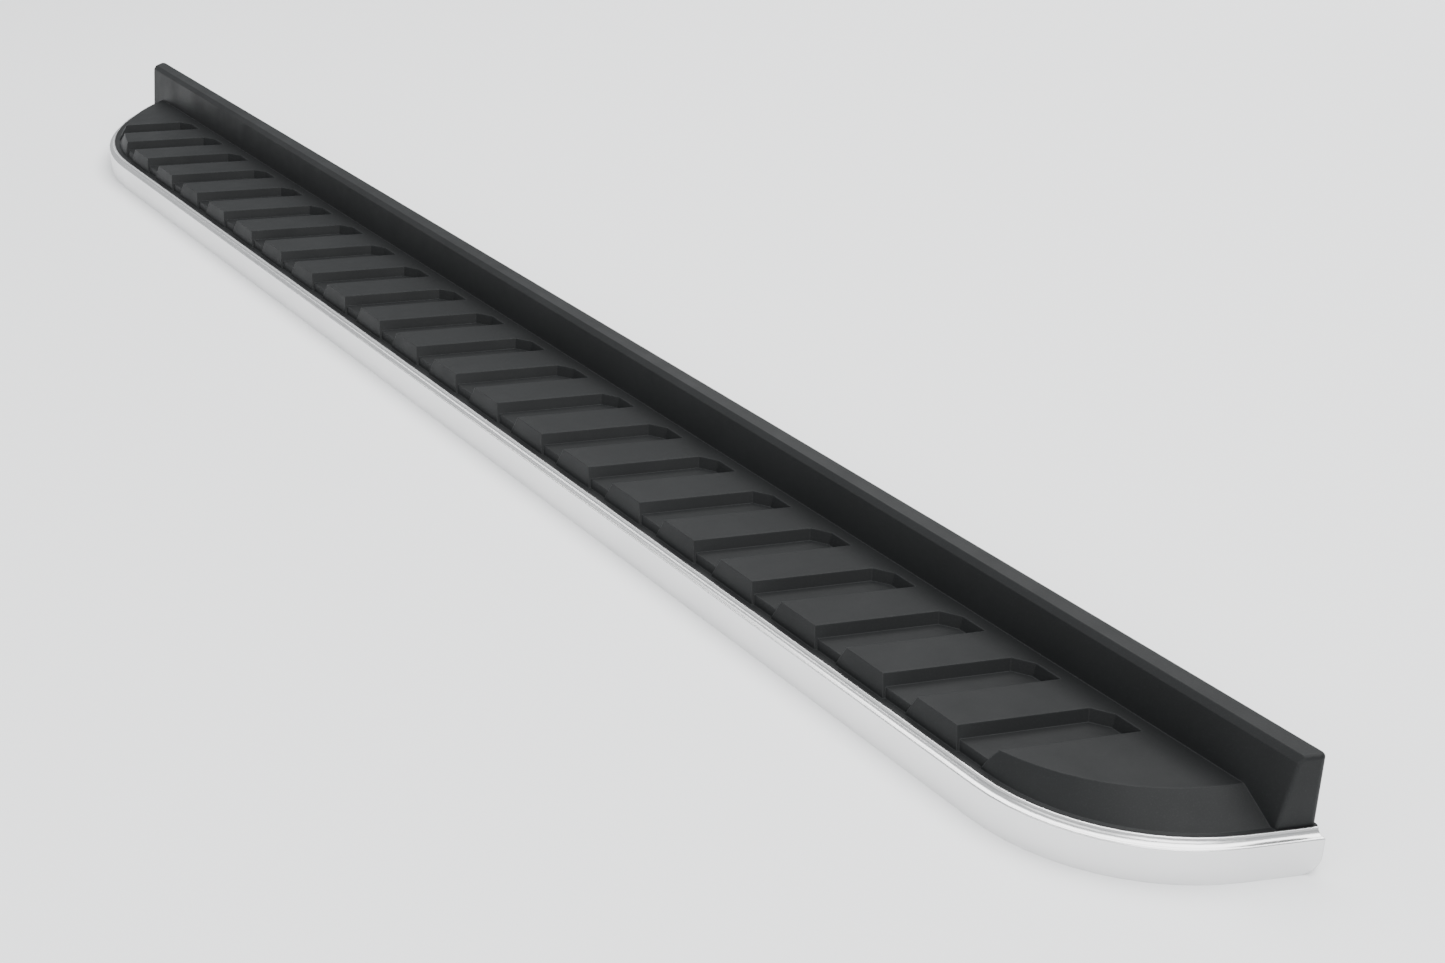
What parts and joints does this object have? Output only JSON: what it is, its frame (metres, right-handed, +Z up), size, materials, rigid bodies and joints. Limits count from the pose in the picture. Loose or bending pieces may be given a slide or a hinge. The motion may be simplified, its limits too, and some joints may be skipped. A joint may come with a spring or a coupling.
{
  "type": "running board",
  "caption": "Vehicle side step with a grooved moulded tread, an upright rear wall, a bright edge trim and a slotted support beam with sliding channel nuts.",
  "frame": {"origin": "centre of the footprint at the bottom of the edge trim", "axes": "X along the board, +Y inboard towards the vehicle, +Z up"},
  "size_m": [1.8255, 0.137, 0.077],
  "materials": {
    "cover_plastic": "fine-grained, UV-stable black moulded plastic",
    "bright_trim": "satin bright anodised, with a polished lip and roll",
    "seal_rubber": "soft black extruded seal",
    "spring_steel": "hardened and tempered spring steel",
    "beam_aluminium": "mill finish with fine lines from the extrusion die",
    "plug_plastic": "plain black moulded plastic",
    "coated_steel": "black powder coat",
    "foam": "closed-cell foam tape",
    "rivet_aluminium": "plain",
    "zinc_steel": "bright zinc plated"
  },
  "bodies": {
    "board": {"step_cover": "cover_plastic", "side_trim": "bright_trim", "trim_seal": "seal_rubber", "trim_clips": "spring_steel", "support_beam": "beam_aluminium", "left_beam_plug": "plug_plastic", "right_beam_plug": "plug_plastic", "left_end_bracket": "coated_steel", "right_end_bracket": "coated_steel", "wall_stiffener": "coated_steel", "foam_strips": "foam", "stiffener_rivets": "rivet_aluminium", "bracket_rivets": "rivet_aluminium", "screw_washers": "zinc_steel", "cover_screws": "zinc_steel"},
    "left_outer_channel_nut": {"left_outer_nut": "zinc_steel", "left_outer_spring": "spring_steel"},
    "left_inner_channel_nut": {"left_inner_nut": "zinc_steel", "left_inner_spring": "spring_steel"},
    "middle_outer_channel_nut": {"middle_outer_nut": "zinc_steel", "middle_outer_spring": "spring_steel"},
    "middle_inner_channel_nut": {"middle_inner_nut": "zinc_steel", "middle_inner_spring": "spring_steel"},
    "right_outer_channel_nut": {"right_outer_nut": "zinc_steel", "right_outer_spring": "spring_steel"},
    "right_inner_channel_nut": {"right_inner_nut": "zinc_steel", "right_inner_spring": "spring_steel"}
  },
  "joints": [
    {"name": "left_outer_nut_slide", "type": "slide", "parent": "board", "child": "left_outer_channel_nut", "axis": [1, 0, 0], "range_m": [-0.14, 0.25]},
    {"name": "left_inner_nut_slide", "type": "slide", "parent": "board", "child": "left_inner_channel_nut", "axis": [1, 0, 0], "range_m": [-0.14, 0.25]},
    {"name": "middle_outer_nut_slide", "type": "slide", "parent": "board", "child": "middle_outer_channel_nut", "axis": [1, 0, 0], "range_m": [-0.25, 0.25]},
    {"name": "middle_inner_nut_slide", "type": "slide", "parent": "board", "child": "middle_inner_channel_nut", "axis": [1, 0, 0], "range_m": [-0.25, 0.25]},
    {"name": "right_outer_nut_slide", "type": "slide", "parent": "board", "child": "right_outer_channel_nut", "axis": [1, 0, 0], "range_m": [-0.25, 0.19]},
    {"name": "right_inner_nut_slide", "type": "slide", "parent": "board", "child": "right_inner_channel_nut", "axis": [1, 0, 0], "range_m": [-0.25, 0.19]}
  ]
}
